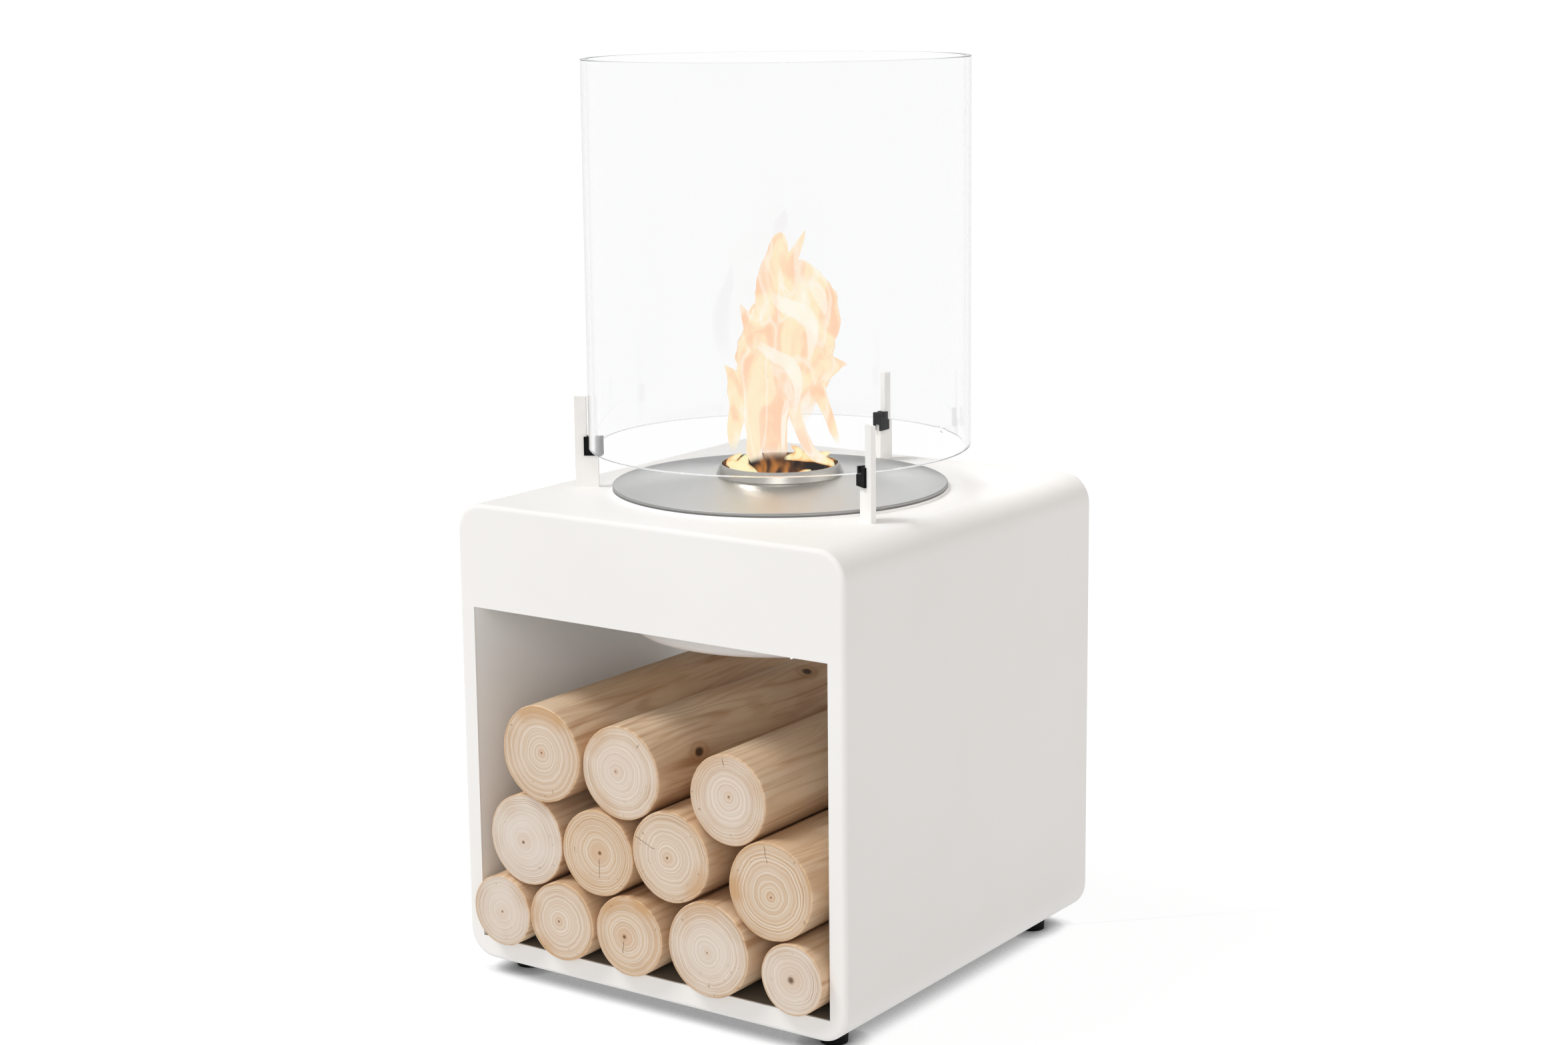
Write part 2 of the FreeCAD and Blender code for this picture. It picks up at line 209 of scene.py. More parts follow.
# Feet and saddles
# Moulded black rubber: tapered pads under the cabinet, and clips that hold the edge of the glass
# on the posts. The surface is matt with a fine moulded grain and a trace of dust.
rubber, shader = new_finish("black_rubber")
here = place_on_part(shader)
moulding = here.noise(900.0, 2.0)
dust = here.noise(60.0, 3.0).ease(0.5, 0.8)
shader.shade({
    "Base Color": dust.blend((0.004, 0.004, 0.005), (0.012, 0.012, 0.012)),
    "Roughness": 0.5 + moulding * 0.2,
    "Normal": moulding.bump(0.00008, 0.5),
    "Specular IOR Level": 0.12,
})
dress(rubber, "foot_front_left", "foot_front_right", "foot_rear_left", "foot_rear_right")
dress(rubber, "saddle_back", "saddle_front_left", "saddle_front_right")


# Burner tray
# A deep pan of pressed steel that hangs in the top by its rim, coated in a paler white than the
# cabinet, partly as painted light that lifts it where it hangs in shade. Its underside shows through the
# log store.
# painted light: the paler white partly lifts the pan where it hangs in the shade under the top
pan_coat = powder_coat("lit_pan_powder_coat", (0.97, 0.965, 0.955), (0.955, 0.95, 0.94), 0.4)
dress(pan_coat, "burner_tray")


# Burner plate and collar
# Stainless steel turned on a lathe and brushed in circles about the burner's axis, so light drawn
# across it spreads into bright fans. The heat of the flame has yellowed it a little by the mouth.
# The turned-down edge is a duller, darker grey, partly painted shade, and darker at its foot as painted
# shade.

# brush lines and wider bands in a metre of radius
LATHE_LINES = 2400.0
LATHE_BANDS = 260.0
# metres from the axis between which the yellowing fades
YELLOWED = (0.054, 0.085)
# width of the lip where it turns down, and heights above its foot between which its painted shade fades
LIP_TURN = 0.0006
LIP_SHADE = (0.0008, 0.0028)


def from_axis(here):
    """Distance of a place from the burner's upright axis."""
    flat = here.times((1.0, 1.0, 0.0))
    return flat.node("ShaderNodeVectorMath", {"operation": "LENGTH"}, {0: flat}, output="Value")


def brushed_steel(name, colour, roughness, anisotropy, edge, foot):
    """Steel brushed in circles about the upright axis, a darker grey beyond the edge that is partly painted
    shade, darkest at its foot.
    """
    material, shader = new_finish(name)
    here = place_on_part(shader)
    radius = from_axis(here)
    lines = (radius * LATHE_LINES).drift(3.0)
    bands = (radius * LATHE_BANDS).drift(2.0)
    cloud = here.noise(22.0, 3.0)
    heat = 1 - radius.ease(*YELLOWED)
    clean = (lines * 0.6 + bands * 0.4).blend(tuple(part * 0.9 for part in colour), colour)
    tint = (colour[0], colour[1] * 0.95, colour[2] * 0.86)
    warmed = (heat * 0.3 + cloud * 0.1).blend(clean, tint)
    # painted shade: the lip is a darker grey than the plate and darker still toward its foot, for the shade
    # of its turned-down side and of the gap under it
    raised = here.parts()[2].ease(foot + LIP_SHADE[0], foot + LIP_SHADE[1])
    lip_shade_tone = raised.blend((0.2, 0.2, 0.2), (0.52, 0.52, 0.51))
    shader.shade({
        "Base Color": radius.ease(edge - LIP_TURN, edge).blend(warmed, lip_shade_tone),
        "Roughness": roughness + (lines - 0.5) * 0.12 + (cloud - 0.5) * 0.08,
        "Normal": lines.bump(0.00002, 0.25),
        "Metallic": 1.0,
        "Anisotropic": anisotropy,
    })
    return material


plate_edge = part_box("burner_plate")[1].x
plate_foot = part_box("burner_plate")[0].z
plate_steel = brushed_steel("turned_plate_steel", (0.67, 0.675, 0.67), 0.36, 0.8, plate_edge, plate_foot)
# painted shade: the collar is a darker copy of the plate's steel, standing for the darker surroundings that
# its wall reflects
shaded_collar_steel = brushed_steel("shaded_collar_steel", (0.44, 0.43, 0.41), 0.26, 0.6, plate_edge, plate_foot)
dress(plate_steel, "burner_plate")
dress(shaded_collar_steel, "burner_collar")


# Throat and fuel reservoir
# A sleeve with a row of air holes and a fuel can under the plate, both of stainless steel. The
# sleeve's bore is browned by heat and darkened by soot, and the fire's light on it is painted as a glow.

# depths below the throat's top between which soot and the painted glow grow, and where they end outside it
SOOT_DEPTH = (0.08, 0.01)
GLOW_DEPTH = (0.05, 0.008)
BORE_EDGE = (0.001, 0.004)

sooty, shader = new_finish("sooted_steel")
here = place_on_part(shader)
height = here.parts()[2]
cloud = here.noise(48.0, 3.0, 0.55, 0.6)
licks = here.times((1.0, 1.0, 0.7)).noise(34.0, 2.0, 0.5, 1.4)
throat_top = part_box("burner_throat")[1].z
throat_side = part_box("burner_throat")[1].x
inside = 1 - from_axis(here).ease(throat_side + BORE_EDGE[0], throat_side + BORE_EDGE[1])
clouded = height + (cloud - 0.5) * 0.03
soot = clouded.ease(throat_top - SOOT_DEPTH[0], throat_top - SOOT_DEPTH[1]) * inside
brown = licks.ease(0.42, 0.66).blend((0.008, 0.0035, 0.002), (0.22, 0.085, 0.022))
near_mouth = height.ease(throat_top - GLOW_DEPTH[0], throat_top - GLOW_DEPTH[1])
# painted light: the fire's light on the bore is painted as an orange glow in the same licks as the heat's
# browning
glow = licks.ease(0.52, 0.75) * near_mouth * inside
shader.shade({
    "Base Color": soot.blend((0.55, 0.54, 0.52), brown),
    "Roughness": 0.4 + cloud * 0.3,
    "Metallic": 1 - soot,
    "Normal": cloud.bump(0.0002, 0.3),
    "Specular IOR Level": 0.05,
    "Emission Color": glow.blend((0.0, 0.0, 0.0), (0.8, 0.3, 0.05)),
    "Emission Strength": 1.0,
})
dress(sooty, "burner_throat", "fuel_reservoir")


# Glass cylinder
# A tube of clear heat-proof glass, open at both ends. Its walls are polished and carry a breath of
# haze, and its two rims are ground to fine white lines. The lower one is painted grey behind as
# painted shade, where it stands in the shade of the burner.

# white of a ground rim, grey of its painted shade, how much is ground, and where the shade greys it behind
GROUND_WHITE = (0.86, 0.88, 0.89)
RIM_PAINTED_SHADE = (0.16, 0.17, 0.18)
GROUND_SHARE = 0.75
PAINTED_SHADE_SPAN = (-0.06, 0.04)

glass, shader = new_finish("clear_glass")
here = place_on_part(shader)
haze = here.times((1.0, 1.0, 0.4)).noise(9.0, 2.0)
shader.shade({
    "Base Color": haze.ease(0.3, 0.8).blend((0.965, 0.966, 0.968), (0.958, 0.96, 0.963)),
    "Roughness": haze.ease(0.5, 1.0) * 0.01,
    "Transmission Weight": 1.0,
    "Specular Tint": (0.4, 0.4, 0.4),
    "IOR": 1.47,
})
upright = shader.node("ShaderNodeNewGeometry", output="Normal").parts()[2].math("ABSOLUTE")
glass_foot, glass_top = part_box("glass_cylinder")
lower = 1 - here.parts()[2].ease(glass_foot.z, glass_top.z)
# painted shade: the lower rim greys towards the back, where the burner shades it
behind = here.parts()[1].ease(*PAINTED_SHADE_SPAN) * lower
frost = shader.node("ShaderNodeBsdfTranslucent", inputs={"Color": GROUND_WHITE})
matt = shader.node("ShaderNodeBsdfDiffuse", inputs={"Color": GROUND_WHITE})
dim = shader.node("ShaderNodeBsdfDiffuse", inputs={"Color": RIM_PAINTED_SHADE})
bright = shader.node("ShaderNodeMixShader", inputs={0: 0.5, 1: frost, 2: matt})
ground = shader.node("ShaderNodeMixShader", inputs={0: behind, 1: bright, 2: dim})
rim = upright.ease(0.5, 0.9) * GROUND_SHARE
rimmed = shader.node("ShaderNodeMixShader", inputs={0: rim, 1: shader, 2: ground})
clear = shader.node("ShaderNodeBsdfTransparent", inputs={"Color": (0.98, 0.99, 0.99)})
shadow_ray = shader.node("ShaderNodeLightPath", output="Is Shadow Ray")
surface = shader.node("ShaderNodeMixShader", inputs={0: shadow_ray, 1: rimmed, 2: clear})
glass.node_tree.links.new(surface.socket, glass.node_tree.nodes["Material Output"].inputs["Surface"])
dress(glass, "glass_cylinder")


# Logs
# Round conifer billets, peeled and sanded, with sawn ends. Each keeps the slight ovals and flats
# of the trunk. The ends show growth rings about a dark pith and now and then a drying check, the
# sides wavy growth lines and long brown streaks that part round the knots.
LOG_TRAITS = {
    # pith from the centre in shares of the radius, right and up; warmth; radius of the pith
    "log_top_1": (0.02, 0.03, 0.6, 0.0012),
    "log_top_2": (-0.12, 0.02, 0.28, 0.0011),
    "log_top_3": (0.03, 0.08, 0.3, 0.0012),
    "log_middle_1": (-0.10, -0.08, 0.0, 0.0019),
    "log_middle_2": (0.07, 0.02, 0.95, 0.0022),
    "log_middle_3": (-0.08, -0.03, 0.55, 0.0015),
    "log_middle_4": (0.02, -0.11, 0.9, 0.0012),
    "log_bottom_1": (0.0, -0.03, 0.0, 0.0013),
    "log_bottom_2": (-0.09, -0.01, 0.55, 0.0014),
    "log_bottom_3": (-0.14, -0.04, 0.85, 0.0024),
    "log_bottom_4": (-0.02, -0.06, 0.2, 0.0010),
    "log_bottom_5": (-0.02, -0.01, 0.05, 0.0040),
}
LOG_KNOTS = {
    # degrees round from +X towards +Z, and metres from the front end
    "log_top_2": ((15.3, 0.059), (63.3, 0.2495)),
    "log_top_3": ((48.0, 0.16),),
    "log_middle_4": ((60.0, 0.21),),
}
LOG_CHECKS = {
    # degrees round from +X towards +Z, and the stretch it opens in shares of the radius
    "log_top_3": (102.0, 0.72, 0.97),
    "log_middle_2": (268.0, 0.12, 0.62),
    "log_middle_3": (158.0, 0.38, 1.0),
    "log_middle_4": (98.0, 0.62, 0.98),
    "log_bottom_3": (262.0, 0.12, 0.5),
}
# points round a log, metres between their rings, rounding of the rims and its steps, rings on an end
AROUND = 112
STATION = 0.004
RIM = 0.0009
RIM_STEPS = (0.0, 0.12, 0.35, 0.65, 1.0)
CAP_RINGS = 14
# half the depth of the skin's ripples, how close they lie round a log and along it, and a step from
# log to log through their noise
RIPPLE = 0.0002
RIPPLES_AROUND = 2.2
RIPPLES_ALONG = 22
RIPPLE_SHIFT = 7
# how often a flat comes round the trunk, its depth in shares of the radius, and its turn along a log
FLATS = ((2, 0.010), (3, 0.008), (4, 0.005), (7, 0.003))
FLAT_TWIST = 6.0
# how far a knot tones the wood, how steeply and from which nearness its middle is dented, and how far
# it parts the grain, with both reaches stretched along the log
KNOT_REACH = 0.0135
KNOT_STRETCH = 0.7
KNOT_DENT = 0.0012
DENT_FROM = 0.6
PARTING_REACH = 0.0095
PARTING_STRETCH = 0.4
# how far a knot's brown trail lies below it and in front of it, and half the trail's width and length
TRAIL_DROP = 0.005
TRAIL_LEAD = 0.018
TRAIL_WIDTH = 0.008
TRAIL_LENGTH = 0.05
# width of a drying check, and the place past the rim for a log without one
CHECK_GAPE = 0.00055
NO_CHECK = (0.0, 2.0, 3.0)
# a step from log to log through the same noise, so that no two have the same grain
GRAIN_SHIFT = 0.9
# growth rings, wide and narrow years, pale zones and fine lines in a metre of radius
RINGS = 300.0
YEARS = 170.0
ZONES = 95.0
FINE_LINES = 1250.0


def carried(shader, name, output):
    """A value that the mesh carries at each of its points."""
    return shader.node("ShaderNodeAttribute", {"attribute_name": name}, output=output)


def sawn_end():
    """End grain: growth rings that follow the log's outline, a dark pith, drying checks."""
    material, shader = new_finish("sawn_log_end")
    grain = carried(shader, "grain", "Vector")
    out = carried(shader, "ring", "Fac")
    share = carried(shader, "share", "Fac")
    warmth, pith, check_end = carried(shader, "trait", "Vector").parts()
    check_x, check_z, check_start = carried(shader, "check", "Vector").parts()
    fibres = grain.noise(1300.0, 2.0)
    outer = share.ease(0.35, 0.98)

    # lines that follow the outline and wander from it, shifted by the warmth so that the logs differ
    sway = (grain.noise(55.0, 2.0) - 0.5) * 0.0038 + (grain.noise(19.0, 1.0) - 0.5) * 0.005
    wander = out + sway + (grain.noise(140.0, 1.0) - 0.5) * 0.0012
    years = (wander * YEARS + warmth * 61.0).drift()
    phase = wander * RINGS + (years - 0.5) * 3.4
    wave = (phase * math.tau).math("SINE")
    late = wave.ease(-0.5, 1.0) * (0.2 + years.ease(0.34, 0.6) * 0.8)
    zones = (wander * ZONES + warmth * 29.0).drift()
    fine = (wander * FINE_LINES + warmth * 17.0).drift(2.0)

    # the wood and its rings
    blotch = grain.noise(42.0, 3.0)
    patch = grain.noise(24.0, 2.0)
    pale = warmth.blend((0.715, 0.645, 0.582), (0.62, 0.458, 0.305))
    age = outer * (0.15 + warmth * 0.5) + blotch.ease(0.45, 0.8) * 0.25
    aged = age.blend(pale, (0.62, 0.435, 0.275))
    rosy = (patch.ease(0.45, 0.7) * 0.5 * (1 - outer)).blend(aged, (0.69, 0.54, 0.44))
    zoned = (zones.ease(0.4, 0.64) * 0.6).blend(rosy, (0.81, 0.735, 0.65))
    shown = (0.24 + outer * 0.56) * (0.5 + grain.noise(33.0, 1.0).ease(0.34, 0.66) * 0.75)
    ringed = (late * shown).blend(zoned, (0.46, 0.29, 0.165))
    lined = (fine.ease(0.5, 0.76) * 0.2).blend(ringed, (0.52, 0.36, 0.225))
    near_pith = 1 - (out / (pith * 6.0)).ease(0.1, 1.0)
    heart = (near_pith * (0.3 + warmth * 0.3)).blend(lined, (0.6, 0.37, 0.21))

    # stains from the edge, a drying check, specks and the pith
    stain = blotch.ease(0.42, 0.7) * warmth.ease(0.2, 0.9)
    edge = (share.ease(0.93, 1.0) * (0.35 + stain * 0.5)).blend(heart, (0.56, 0.345, 0.17))
    weather = grain.noise(17.0, 2.0).ease(0.5, 0.68) * share.ease(0.5, 0.95)
    stained = (weather * (0.3 + warmth * 0.7)).blend(edge, (0.56, 0.335, 0.165))
    right, _, up = grain.parts()
    jag = (grain.noise(150.0, 2.0) - 0.5) * 0.004
    aside = (right * check_z - up * check_x + jag).math("ABSOLUTE")
    forward = right * check_x + up * check_z
    begun = share.ease(check_start - 0.03, check_start + 0.05)
    opened = begun * (1 - share.ease(check_end - 0.06, check_end))
    gape = CHECK_GAPE + (grain.noise(420.0, 1.0) - 0.5) * 0.0009
    crack = (1 - (aside / gape).ease(0.3, 1.0)) * opened * forward.ease(0.0, 0.001)
    checked = (crack * 0.65).blend(stained, (0.16, 0.09, 0.05))
    speck = grain.noise(230.0, 1.0).ease(0.71, 0.76) * share.ease(0.4, 0.8)
    specked = (speck * 0.55).blend(checked, (0.3, 0.19, 0.11))
    core = 1 - (out / pith).ease(0.3, 1.15)
    shader.shade({
        "Base Color": (core * 0.9).blend(specked, (0.13, 0.065, 0.03)),
        "Roughness": 0.72 + fibres * 0.14,
        "Normal": (late * 0.5 + fibres * 0.6 - crack * 2.0).bump(0.00022, 0.5),
        "Specular IOR Level": 0.2,
    })
    return material


def peeled_side():
    """Peeled side: tan wood with growth lines and long brown streaks that part round the knots."""
    material, shader = new_finish("peeled_log_side")
    grain = carried(shader, "grain", "Vector")
    knot = carried(shader, "knot", "Fac")
    trail = carried(shader, "trail", "Fac")
    warmth = carried(shader, "trait", "Vector").parts()[0]
    streak = grain.times((62.0, 4.2, 62.0)).noise(1.0, 4.0, 0.55, 0.9)
    veins = grain.times((230.0, 6.0, 230.0)).noise(1.0, 3.0, 0.6, 0.3)
    patch = grain.times((16.0, 7.0, 16.0)).noise(1.0, 2.0)
    fibres = grain.times((1500.0, 40.0, 1500.0)).noise(1.0, 2.0)
    years = grain.times((30.0, 3.2, 30.0)).noise(1.0, 1.5, 0.5, 0.4) * 75.0
    figure = years.math("SINE").ease(-0.2, 1.0)
    tan = warmth.blend((0.69, 0.497, 0.33), (0.67, 0.457, 0.28))
    light = patch.ease(0.4, 0.7).blend(tan, (0.75, 0.572, 0.4))
    brown = (streak.ease(0.5, 0.7) * 0.75).blend(light, (0.45, 0.26, 0.14))
    dark = (streak.ease(0.66, 0.8) * 0.6).blend(brown, (0.3, 0.135, 0.055))
    veined = (veins.ease(0.54, 0.74) * 0.42).blend(dark, (0.45, 0.23, 0.105))
    figured = (figure * (0.1 + patch.ease(0.35, 0.6) * 0.26)).blend(veined, (0.48, 0.275, 0.14))
    trailed = (trail * (0.3 + veins.ease(0.4, 0.65) * 0.6)).blend(figured, (0.34, 0.165, 0.07))
    bands = (knot * 21.0).math("SINE").ease(-0.2, 1.0)
    around_knot = (knot.ease(0.02, 0.5) * (0.3 + bands * 0.18)).blend(trailed, (0.36, 0.185, 0.075))
    relief = fibres * 0.4 - veins.ease(0.5, 0.8) * 0.5 - streak.ease(0.5, 0.75) * 0.4
    shader.shade({
        "Base Color": (knot.ease(0.62, 0.8) * 0.93).blend(around_knot, (0.05, 0.024, 0.013)),
        "Roughness": 0.52 + veins * 0.2,
        "Normal": relief.bump(0.0003, 0.6),
        "Specular IOR Level": 0.25,
    })
    return material


def knot_gaps(knots, radius, angle, y):
    """How far a place on the skin lies from each knot, round the log and along it."""
    return [
        (radius * math.remainder(angle - knot_angle, math.tau), y - knot_y)
        for knot_angle, knot_y in knots
    ]


def knot_nearness(gaps):
    """1 at a knot's middle, 0 away from every knot."""
    near = [1 - math.hypot(around, along * KNOT_STRETCH) / KNOT_REACH for around, along in gaps]
    return max([0.0, *near])


def knot_trail(gaps):
    """1 in the middle of the brown grain that runs forward below a knot, 0 away from it."""
    near = [
        1 - math.hypot((around + TRAIL_DROP) / TRAIL_WIDTH, (along + TRAIL_LEAD) / TRAIL_LENGTH)
        for around, along in gaps
    ]
    return max([0.0, *near])


def knot_parting(gaps):
    """How far the knots draw the grain aside, round the log."""
    aside = 0.0
    for around, along in gaps:
        gap = around ** 2 + (along * PARTING_STRETCH) ** 2
        aside += around * PARTING_REACH ** 2 / (gap + PARTING_REACH ** 2)
    return aside


def drawn_in(flats, angle, along):
    """How far the trunk's flats draw the skin in, in shares of the radius."""
    return sum(
        depth * (1 + math.sin(count * angle + phase + twist * along * FLAT_TWIST)) / 2
        for count, depth, phase, twist in flats
    )


def log_stations(length):
    """Where the rings of points lie along a log, close together round its rims."""
    rim = [RIM * step for step in RIM_STEPS]
    count = round((length - 2 * RIM) / STATION)
    inner = [RIM + (length - 2 * RIM) * i / count for i in range(1, count)]
    return rim + inner + [length - step for step in reversed(rim)]


def tube_faces(start, rings, around):
    """Faces between rings of points that follow one another from a first point."""
    return [
        (a + i, a + (i + 1) % around, a + around + (i + 1) % around, a + around + i)
        for a in range(start, start + (rings - 1) * around, around)
        for i in range(around)
    ]


def carry(mesh, vectors, values):
    """Lay vectors and values on a mesh's points for its finish."""
    for name, numbers in vectors.items():
        mesh.attributes.new(name, "FLOAT_VECTOR", "POINT").data.foreach_set("vector", numbers)
    for name, numbers in values.items():
        mesh.attributes.new(name, "FLOAT", "POINT").data.foreach_set("value", numbers)


def new_mesh(name, points, faces, *finishes):
    """A mesh from points and faces, with its finishes."""
    mesh = bpy.data.meshes.new(name)
    mesh.from_pydata(points, [], faces)
    for finish in finishes:
        mesh.materials.append(finish)
    return mesh


def placed(name, data):
    """A mesh, light or camera as an object in the scene."""
    piece = bpy.data.objects.new(name, data)
    bpy.context.scene.collection.objects.link(piece)
    return piece


def rippled(angle, y, number):
    """How far the ripples draw the skin in."""
    around = (math.cos(angle) * RIPPLES_AROUND, math.sin(angle) * RIPPLES_AROUND)
    return RIPPLE * (1 + noise.noise((*around, y * RIPPLES_ALONG + number * RIPPLE_SHIFT)))


def side_points(low, high, number, knots):
    """Points of the peeled side: place, place in the grain, share of the radius, knot and trail."""
    length = high.y - low.y
    radius = (high.x - low.x) / 2
    middle = (low + high) / 2
    draw = random.Random(number)
    flats = [(count, depth, draw.uniform(0, math.tau), draw.uniform(-1, 1)) for count, depth in FLATS]
    points = []
    for along in log_stations(length):
        y = low.y + along
        inset = RIM - min(along, length - along, RIM)
        rounding = RIM - math.sqrt(RIM ** 2 - inset ** 2)
        for i in range(AROUND):
            angle = math.tau * i / AROUND
            gaps = knot_gaps(knots, radius, angle, y)
            nearness = knot_nearness(gaps)
            dent = KNOT_DENT * max(nearness - DENT_FROM, 0)
            trunk = radius * (1 - drawn_in(flats, angle, along))
            reach = trunk - rippled(angle, y, number) - dent - rounding
            place = (middle.x + reach * math.cos(angle), y, middle.z + reach * math.sin(angle))
            run = angle - knot_parting(gaps) / radius
            grain = (radius * math.cos(run), y + number * GRAIN_SHIFT, radius * math.sin(run))
            points.append((place, grain, 1.0, nearness, knot_trail(gaps)))
    return points


def end_points(edge, pith_x, pith_z, number):
    """Points of a sawn end, with the same values, in rings from its edge in to the pith."""
    y = edge[0][1]
    grain_y = y + number * GRAIN_SHIFT
    points = []
    for ring in range(CAP_RINGS):
        share = 1 - ring / CAP_RINGS
        for x, _, z in edge:
            right, up = (x - pith_x) * share, (z - pith_z) * share
            points.append(((pith_x + right, y, pith_z + up), (right, grain_y, up), share, 0.0, 0.0))
    points.append(((pith_x, y, pith_z), (0.0, grain_y, 0.0), 0.0, 0.0, 0.0))
    return points


def end_faces(start, at_rear):
    """Faces between the rings of a sawn end and about its pith, turned over at the rear."""
    rings = [start + ring * AROUND for ring in range(CAP_RINGS)]
    pith = start + CAP_RINGS * AROUND
    faces = []
    for i in range(AROUND):
        j = (i + 1) % AROUND
        faces += [(a + i, b + i, b + j, a + j) for a, b in zip(rings, rings[1:])]
        faces.append((rings[-1] + i, pith, rings[-1] + j))
    return [face[::-1] if at_rear else face for face in faces]


def log_piece(name, number, side, end):
    """One log in place of its CAD solid: a peeled side and two sawn ends in one mesh."""
    low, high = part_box(name)
    radius = (high.x - low.x) / 2
    middle = (low + high) / 2
    pith_right, pith_up, warmth, pith_size = LOG_TRAITS[name]
    pith_x = middle.x + pith_right * radius
    pith_z = middle.z + pith_up * radius
    knots = [(math.radians(degrees), low.y + along) for degrees, along in LOG_KNOTS.get(name, ())]
    points = side_points(low, high, number, knots)
    faces = tube_faces(0, len(points) // AROUND, AROUND)
    side_faces = len(faces)
    front = [point[0] for point in points[:AROUND]]
    rear = [point[0] for point in points[-AROUND:]]
    for edge, at_rear in ((front, False), (rear, True)):
        faces += end_faces(len(points), at_rear)
        points += end_points(edge, pith_x, pith_z, number)
    places, grain, shares, near, trails = zip(*points)

    mesh = new_mesh(name + "_peeled", places, faces, side, end)
    degrees, check_start, check_end = LOG_CHECKS.get(name, NO_CHECK)
    heading = math.radians(degrees)
    vectors = {
        "grain": [part for place in grain for part in place],
        "check": [math.cos(heading), math.sin(heading), check_start] * len(points),
        "trait": [warmth, pith_size, check_end] * len(points),
    }
    rings = [radius * share for share in shares]
    carry(mesh, vectors, {"ring": rings, "share": shares, "knot": near, "trail": trails})
    is_end = [face >= side_faces for face in range(len(faces))]
    mesh.polygons.foreach_set("material_index", [int(sawn) for sawn in is_end])
    mesh.polygons.foreach_set("use_smooth", [not sawn for sawn in is_end])
    mesh.update()
    piece = placed(name + "_peeled", mesh)
    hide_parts(name)
    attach(piece, name)


log_side = peeled_side()
log_end = sawn_end()
for number, name in enumerate(LOG_TRAITS, start=1):
    log_piece(name, number, log_side, log_end)


# Flame
# Burning ethanol rises from the mouth in thin strands that join into one broad body and end in a
# few ragged tips. It is marbled cream and peach, white where it folds and yellow in the mouth, and a
# breath of grey burnt gas hangs beside it.

